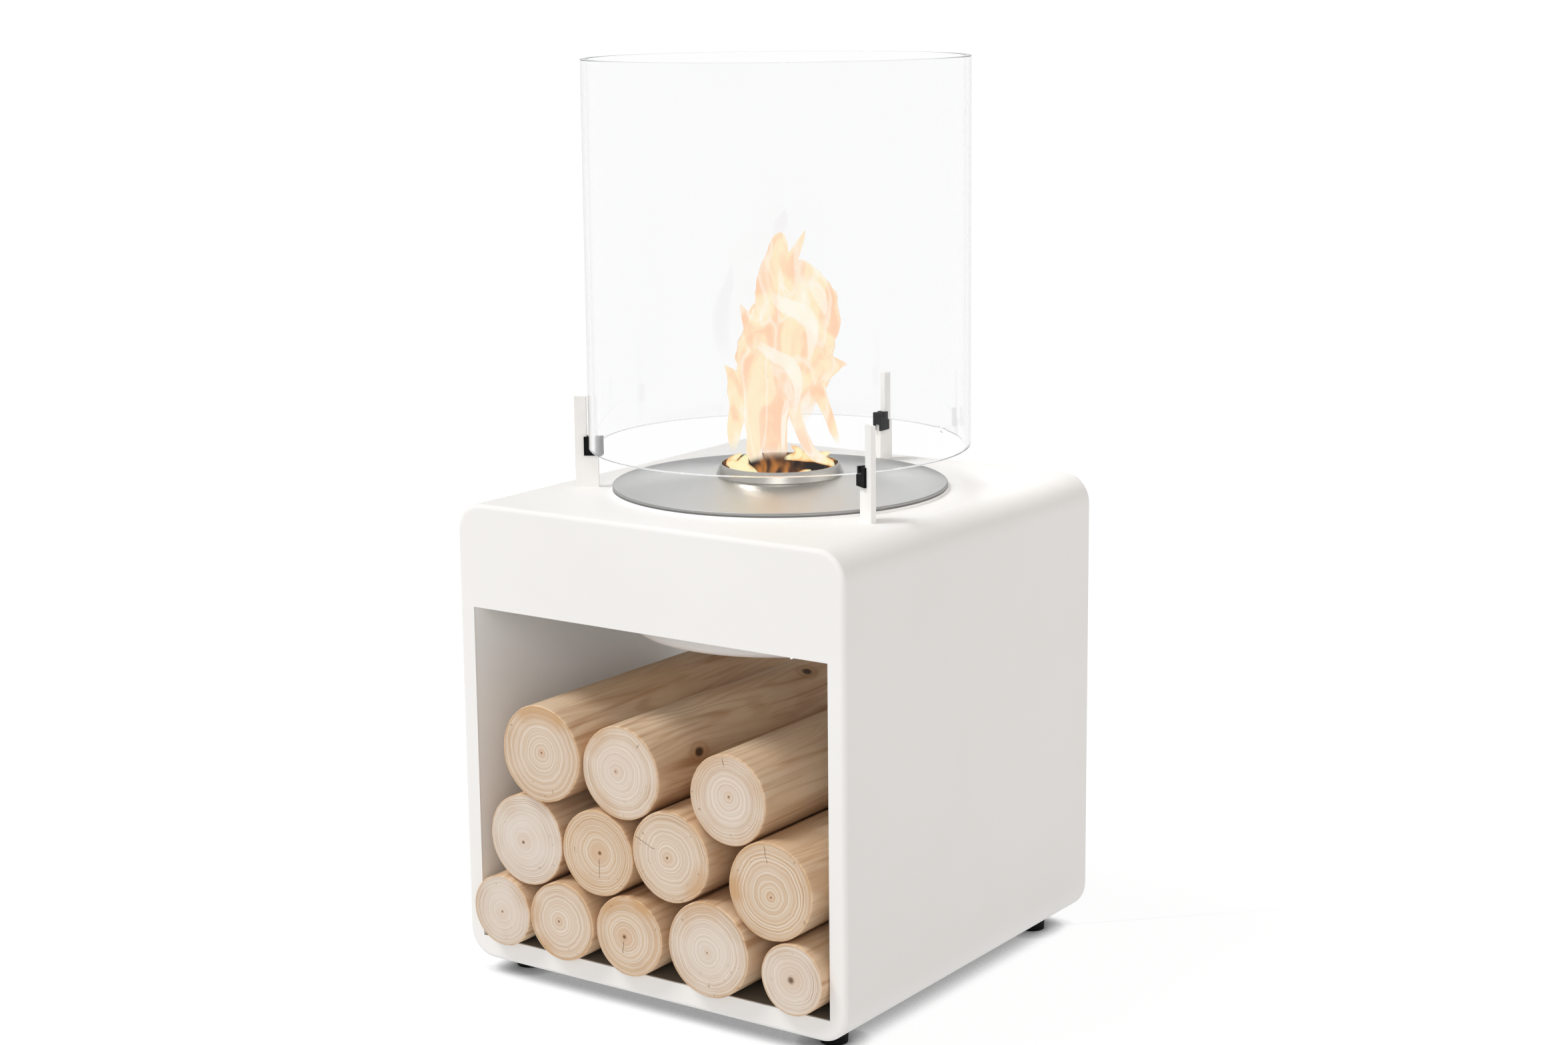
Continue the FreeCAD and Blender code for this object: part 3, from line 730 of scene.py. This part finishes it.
# the broad side of the flame faces the front right
FLAME_TURN = math.radians(35)
TONGUES = (
    # thickness in shares of the width; tone, -1 for burnt gas, 0 for the body and 1 for the fire in the
    # mouth; share of the length that fades in; points along the tongue in millimetres: right, forward
    # and up from the middle of the mouth's rim, and half the width there
    (0.42, 0, 0.35, (
        (-4, 0, 25, 24), (-4, 0, 45, 31), (-2, 0, 65, 38), (3, 0, 83, 41), (8, 0, 103, 40),
        (12, 0, 125, 40), (13, 0, 141, 37), (10, 0, 155, 30), (8, 0, 164, 22), (7, 0, 169, 12))),
    (0.6, 0, 0.2, (
        (-7, 6, 115, 10), (-8, 8, 143, 13), (-5, 6, 162, 13), (-1, 3, 177, 11), (1, 1, 190, 8),
        (2, 0, 198, 5), (2, 0, 202, 1))),
    (0.6, 0, 0.2, (
        (4, 6, 150, 5), (8, 5, 167, 7), (13, 3, 180, 5), (19, 2, 192, 3), (24, 1, 203, 0.5))),
    (0.6, 0, 0.25, (
        (32, 4, 113, 10), (33, 6, 141, 14), (30, 5, 156, 13), (25, 3, 166, 9), (20, 2, 174, 4.5),
        (16, 1, 178, 0.6))),
    (0.6, 0, 0.3, (
        (-12, 14, 93, 9), (-19, 11, 112, 10), (-26, 7, 126, 6), (-30, 5, 134, 3), (-33, 4, 140, 0.5))),
    (0.6, 0, 0.3, (
        (-25, 10, 71, 9), (-29, 8, 90, 7), (-31, 6, 100, 3.5), (-31, 5, 108, 0.5))),
    (0.6, 0, 0.25, (
        (-39, 8, 10, 1), (-40, 8, 20, 4.5), (-39, 8, 34, 6.5), (-36, 7, 50, 8), (-36, 6, 65, 9),
        (-40, 5, 77, 5.5), (-45, 4, 84, 2), (-47, 4, 87, 0.4))),
    (0.6, 0, 0.3, (
        (23, 9, 77, 12), (37, 7, 83, 12), (47, 5, 86, 8), (54, 4, 87, 3.5), (59, 3, 86, 0.5))),
    (0.7, 0, 0.3, (
        (52, 4, 14, 0.7), (48, 5, 26, 3.2), (44, 6, 38, 4), (39, 6, 52, 5), (34, 6, 64, 7),
        (31, 5, 77, 8))),
    (0.7, 0.15, 0.15, (
        (41, 12, 3, 3), (30, 14, 9, 5), (21, 14, 24, 5), (15, 12, 42, 5.5), (13, 10, 60, 7),
        (12, 8, 77, 8))),
    (0.7, 0.45, 0.2, (
        (3, 18, 7, 1.6), (3, 17, 23, 2), (4, 15, 40, 2.6), (6, 13, 56, 4), (8, 11, 73, 5),
        (10, 10, 87, 2))),
    (0.7, 0.1, 0.15, (
        (-19, 10, 2, 6), (-22, 12, 13, 7), (-21, 12, 28, 8), (-22, 10, 44, 9), (-20, 8, 60, 11),
        (-18, 6, 77, 12))),
    (0.7, 0, 0.3, (
        (-4, 0, 2, 9), (-5, 2, 16, 11), (-6, 4, 32, 13), (-5, 4, 48, 16), (-3, 3, 65, 20))),
    (0.5, 0.4, 0.35, (
        (-9, 20, 156, 2), (-4, 21, 148, 4), (6, 22, 141, 7), (19, 21, 135, 8), (27, 20, 126, 7),
        (29, 20, 112, 5), (26, 20, 93, 1.5))),
    (0.5, 0.4, 0.35, (
        (-22, 18, 118, 1.5), (-15, 20, 106, 4), (-4, 22, 98, 6), (8, 22, 91, 7), (15, 22, 79, 5.5),
        (16, 20, 64, 3.5), (14, 18, 47, 1.2))),
    (0.5, 0.4, 0.35, (
        (26, 14, 166, 1.5), (33, 16, 154, 6), (38, 15, 142, 4.5), (40, 14, 131, 1))),
    (0.5, -1, 0.4, (
        (-40, 6, 86, 4), (-47, 6, 104, 8), (-50, 5, 122, 9), (-47, 4, 142, 8), (-42, 3, 160, 5),
        (-40, 2, 174, 1))),
    (0.5, -1, 0.4, (
        (-2, 0, 196, 5), (2, 0, 206, 7), (5, 0, 214, 5), (7, 0, 221, 1))),
    (0.6, 1, 0.12, (
        (-47, -12, -3, 1), (-44, -3, -2, 4.5), (-37, 6, -3, 6.5), (-29, 10, -5, 6), (-23, 9, -8, 4),
        (-18, 6, -11, 1))),
    (0.7, 1, 0.12, (
        (-33, 4, -10, 4), (-33, 5, -3, 6), (-31, 5, 3, 4.5), (-28, 5, 9, 0.8))),
    (0.7, 0.95, 0.12, (
        (-46, -8, -5, 2), (-43, -9, 0, 3.5), (-38, -9, 4, 2.5), (-33, -8, 7, 0.6))),
    (0.5, 0.95, 0.12, (
        (3, -45, -5, 1), (11, -45, -3, 3.5), (21, -42, -2, 5), (31, -35, -2, 5), (39, -25, -3, 4.5),
        (45, -13, -3, 3.5), (48, -2, -4, 1))),
    (0.7, 0.95, 0.12, (
        (14, -40, -4, 4), (17, -40, 1, 5), (15, -38, 5, 3), (10, -36, 9, 0.6))),
    (0.7, 0.95, 0.12, (
        (32, -30, -4, 5), (36, -28, 0, 5), (40, -24, 3, 3), (45, -18, 5, 0.6))),
    (0.8, 0.95, 0.12, (
        (12, 12, -20, 4), (16, 14, -13, 5), (21, 14, -8, 4), (27, 12, -5, 0.8))),
)
# rings from point to point of a tongue, points round a ring, and the least half of its width
TONGUE_STEPS = 8
TONGUE_SIDES = 32
LEAST_HALF = 0.0003
# share of the length that thins to the tip, and how much of the gas is left at the tip itself
TONGUE_TIP = 0.15
TIP_VEIL = 0.45
# waves in a metre of the ragged outline, how high they are in shares of half the width, and the half
# width above which they grow no more
RAGGED = ((45, 0.16), (120, 0.07))
RAGGED_HALF = 0.03
# without a seed the noise of the ragged outline starts from the clock
RAGGED_SEED = 1


def flame_finish():
    """Glowing gas: marbled cream and peach, white in the hot streaks, yellow in the mouth."""
    material, shader = new_finish("ethanol_flame")
    heat, veil, tone = carried(shader, "gas", "Vector").parts()
    here = place_on_part(shader)
    swirl = here.times((1.0, 1.0, 0.5)).noise(30.0, 2.5, 0.5, 1.6)
    fold = here.times((1.0, 1.0, 0.4)).noise(20.0, 1.0, 0.5, 1.4)
    streak = 1 - (fold - 0.5).math("ABSOLUTE").ease(0.0, 0.05)
    marbled = swirl.ease(0.38, 0.58).blend((1.0, 0.66, 0.45), (1.0, 0.85, 0.58))
    white = streak * 0.5 + swirl.ease(0.58, 0.7) * 0.5 + tone.ease(0.0, 0.5)
    hot = white.blend(marbled, (1.0, 0.975, 0.87))
    edged = ((1 - heat.ease(0.04, 0.35)) * 0.5).blend(hot, (1.0, 0.71, 0.43))
    outline = 1 - heat.ease(0.03, 0.13)
    outlined = (outline * 0.7).blend(edged, (0.8, 0.55, 0.4))
    burnt = (0 - tone).ease(0.2, 0.8)
    smoky = burnt.blend(outlined, (0.76, 0.69, 0.73))
    ember = (heat * 0.75 + (swirl - 0.5) * 2.2).ease(0.1, 0.8)
    fire = ember.blend((1.0, 0.36, 0.05), (1.0, 0.93, 0.55))
    mouth = tone.ease(0.5, 0.85)
    soft = tone.ease(0.15, 0.4) * (1 - tone.ease(0.5, 0.7))
    thin = soft + mouth
    gathered = 0.3 - thin * 0.3 + heat.ease(0.0, 0.38 + thin * 0.5) * (0.65 - soft * 0.13)
    wisp = heat.ease(0.3, 1.0) * 0.09
    thick = gathered + burnt * (wisp - gathered) + mouth * heat.ease(0.3, 0.9) * 0.2
    shader.shade({
        "Base Color": (0.0, 0.0, 0.0),
        "Specular IOR Level": 0.0,
        "Roughness": 1.0,
        "Emission Color": mouth.blend(smoky, fire),
        "Emission Strength": 1.03,
        "Alpha": thick * veil,
    })
    return material


def tongue_rings(line):
    """A smooth run in metres through a tongue's points: right, forward, up and half the width."""
    knots = [Vector(knot) / 1000 for knot in line]
    knots = [2 * knots[0] - knots[1], *knots, 2 * knots[-1] - knots[-2]]
    rings = []
    for before, first, second, after in zip(knots, knots[1:], knots[2:], knots[3:]):
        for step in range(TONGUE_STEPS):
            t = step / TONGUE_STEPS
            way = (2 * first + (second - before) * t
                   + (2 * before - 5 * first + 4 * second - after) * t ** 2
                   + (3 * first - before - 3 * second + after) * t ** 3) / 2
            rings.append(way)
    return rings + [knots[-2]]


def flame_piece():
    """All the tongues as closed, flattened, tapering tubes with ragged outlines."""
    noise.seed_set(RAGGED_SEED)
    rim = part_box("burner_collar")[1].z
    turned = Matrix.Rotation(FLAME_TURN, 3, "Z")
    points, faces, gas = [], [], []
    for thickness, tone, root, line in TONGUES:
        rings = tongue_rings(line)
        start = len(points)
        for place, (right, forward, up, half) in enumerate(rings):
            along = place / (len(rings) - 1)
            heading = rings[min(place + 1, len(rings) - 1)] - rings[max(place - 1, 0)]
            lean = math.atan2(heading[0], heading[2])
            half = max(half, LEAST_HALF)
            grown = min(along / root, 1.0)
            spent = min((1 - along) / TONGUE_TIP, 1.0)
            veil = grown * grown * (3 - 2 * grown) * (TIP_VEIL + (1 - TIP_VEIL) * spent)
            for side in range(TONGUE_SIDES):
                angle = math.tau * side / TONGUE_SIDES
                wide = half * math.cos(angle)
                deep = half * thickness * math.sin(angle)
                spot = Vector((
                    right + wide * math.cos(lean), deep - forward, rim + up - wide * math.sin(lean)
                ))
                ragged = sum((noise.noise_vector(spot * waves) * high for waves, high in RAGGED), Vector())
                points.append(turned @ (spot + ragged * min(half, RAGGED_HALF)))
                gas += (abs(math.sin(angle)), veil, tone)
        faces += tube_faces(start, len(rings), TONGUE_SIDES)
        faces.append(tuple(start + side for side in reversed(range(TONGUE_SIDES))))
        top = start + (len(rings) - 1) * TONGUE_SIDES
        faces.append(tuple(top + side for side in range(TONGUE_SIDES)))
    mesh = new_mesh("flame", points, faces, flame_finish())
    carry(mesh, {"gas": gas}, {})
    mesh.polygons.foreach_set("use_smooth", [True] * len(mesh.polygons))
    mesh.update()
    piece = placed("flame", mesh)
    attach(piece, "burner")


flame_piece()


# Floor, light and camera
# A white floor lit from within, which darkens only where the cabinet stands close over it. Even
# light comes from all round, warmer from the right, and soft lights from the upper left front, the
# front right and the right rear. The camera stands at the front right, a little above the burner.

# how far the floor goes, how bright it looks and lights the cabinet, and how its shade reaches and glows
FLOOR_REACH = 300.0
FLOOR_SEEN = 0.93
FLOOR_BOUNCE = 0.62
SHADOW_REACH = 0.022
SHADOW_GLOW = 0.06
# strength of the light from all round, and how much more of it comes from the left
ROOM_LIGHT = 0.47
WEST_LIFT = 0.13
LIGHTS = (
    # name, strength, spread in degrees, colour, where it comes from, and what it shows in
    ("key_light", 1.66, 22, (1.0, 1.0, 0.99), (-0.5, -0.4, 1.0), "diffuse"),
    ("fill_light", 0.88, 40, (1.0, 0.97, 0.95), (0.5, -0.86, 0.28), "diffuse"),
    ("side_light", 0.17, 40, (1.0, 0.95, 0.92), (1.0, 0.35, 0.25), "diffuse"),
    ("sheen_light", 0.09, 40, (1.0, 1.0, 1.0), (-0.55, -0.47, 1.0), "gloss"),
)
# where the camera stands and what it looks at, its roll, lens and sensor in millimetres, picture shift
CAMERA_AT = Vector((1.3543, -1.9292, 0.8650))
CAMERA_AIM = Vector((0.0028, 0.0019, 0.4264))
CAMERA_ROLL = math.radians(-0.59)
CAMERA_LENS = 62.7
SENSOR_WIDTH = 36.0
PICTURE_WIDTH_PIXELS = 2352
PICTURE_SHIFT_PIXELS = -60

floor_finish, shader = new_finish("studio_floor")
uncovered = shader.node(
    "ShaderNodeAmbientOcclusion", {"samples": 8}, {"Distance": SHADOW_REACH}, output="AO"
)
lit = uncovered.ease(0.22, 0.75)
bounced = shader.node("ShaderNodeLightPath", output="Is Diffuse Ray")
floor_light = bounced * (FLOOR_BOUNCE - FLOOR_SEEN) + FLOOR_SEEN
floor_glow = floor_light * (lit * (1 - SHADOW_GLOW) + SHADOW_GLOW)
shader.shade({
    "Base Color": lit.blend((0.04, 0.04, 0.04), (0.1, 0.1, 0.1)),
    "Emission Color": floor_glow.blend((0.0, 0.0, 0.0), (1.0, 1.0, 1.0)),
    "Emission Strength": 1.0,
    "Roughness": 0.9,
    "Specular IOR Level": 0.0,
})
corners = [(x * FLOOR_REACH, y * FLOOR_REACH, 0) for x, y in ((-1, -1), (1, -1), (1, 1), (-1, 1))]
floor = placed("studio_floor", new_mesh("studio_floor", corners, [(0, 1, 2, 3)], floor_finish))

room = bpy.data.worlds.new("studio")
room.use_nodes = True
backdrop = Wire(room.node_tree.nodes["Background"].outputs[0])
east = backdrop.node("ShaderNodeTexCoord", output="Generated").parts()[0]
seen = backdrop.node("ShaderNodeLightPath", output="Is Camera Ray")
seen = seen + backdrop.node("ShaderNodeLightPath", output="Is Transmission Ray")
warm_side = east.ease(-0.1, 0.9).blend((1.0, 1.0, 1.0), (1.0, 0.92, 0.87))
room_glow = ROOM_LIGHT * (1 + WEST_LIFT - east.ease(-0.9, -0.2) * WEST_LIFT)
backdrop.shade({
    "Color": seen.blend(warm_side, (1.0, 1.0, 1.0)),
    "Strength": seen.ease(0.0, 1.0) * (1 - room_glow) + room_glow,
})
bpy.context.scene.world = room

for name, strength, spread, colour, source, shows_in in LIGHTS:
    lamp = bpy.data.lights.new(name, "SUN")
    lamp.energy = strength
    lamp.angle = math.radians(spread)
    lamp.color = colour
    light = placed(name, lamp)
    light.rotation_euler = Vector(source).to_track_quat("Z", "Y").to_euler()
    light.visible_diffuse = shows_in == "diffuse"
    light.visible_glossy = shows_in == "gloss"

lens = bpy.data.cameras.new("camera")
lens.lens = CAMERA_LENS
lens.sensor_fit = "HORIZONTAL"
lens.sensor_width = SENSOR_WIDTH
lens.shift_y = PICTURE_SHIFT_PIXELS / PICTURE_WIDTH_PIXELS
lens.clip_end = 4 * FLOOR_REACH
camera = placed("camera", lens)
turn = (CAMERA_AT - CAMERA_AIM).to_track_quat("Z", "Y").to_matrix().to_4x4()
camera.matrix_world = Matrix.Translation(CAMERA_AT) @ turn @ Matrix.Rotation(CAMERA_ROLL, 4, "Z")
bpy.context.scene.camera = camera
bpy.context.scene.view_settings.view_transform = "Standard"
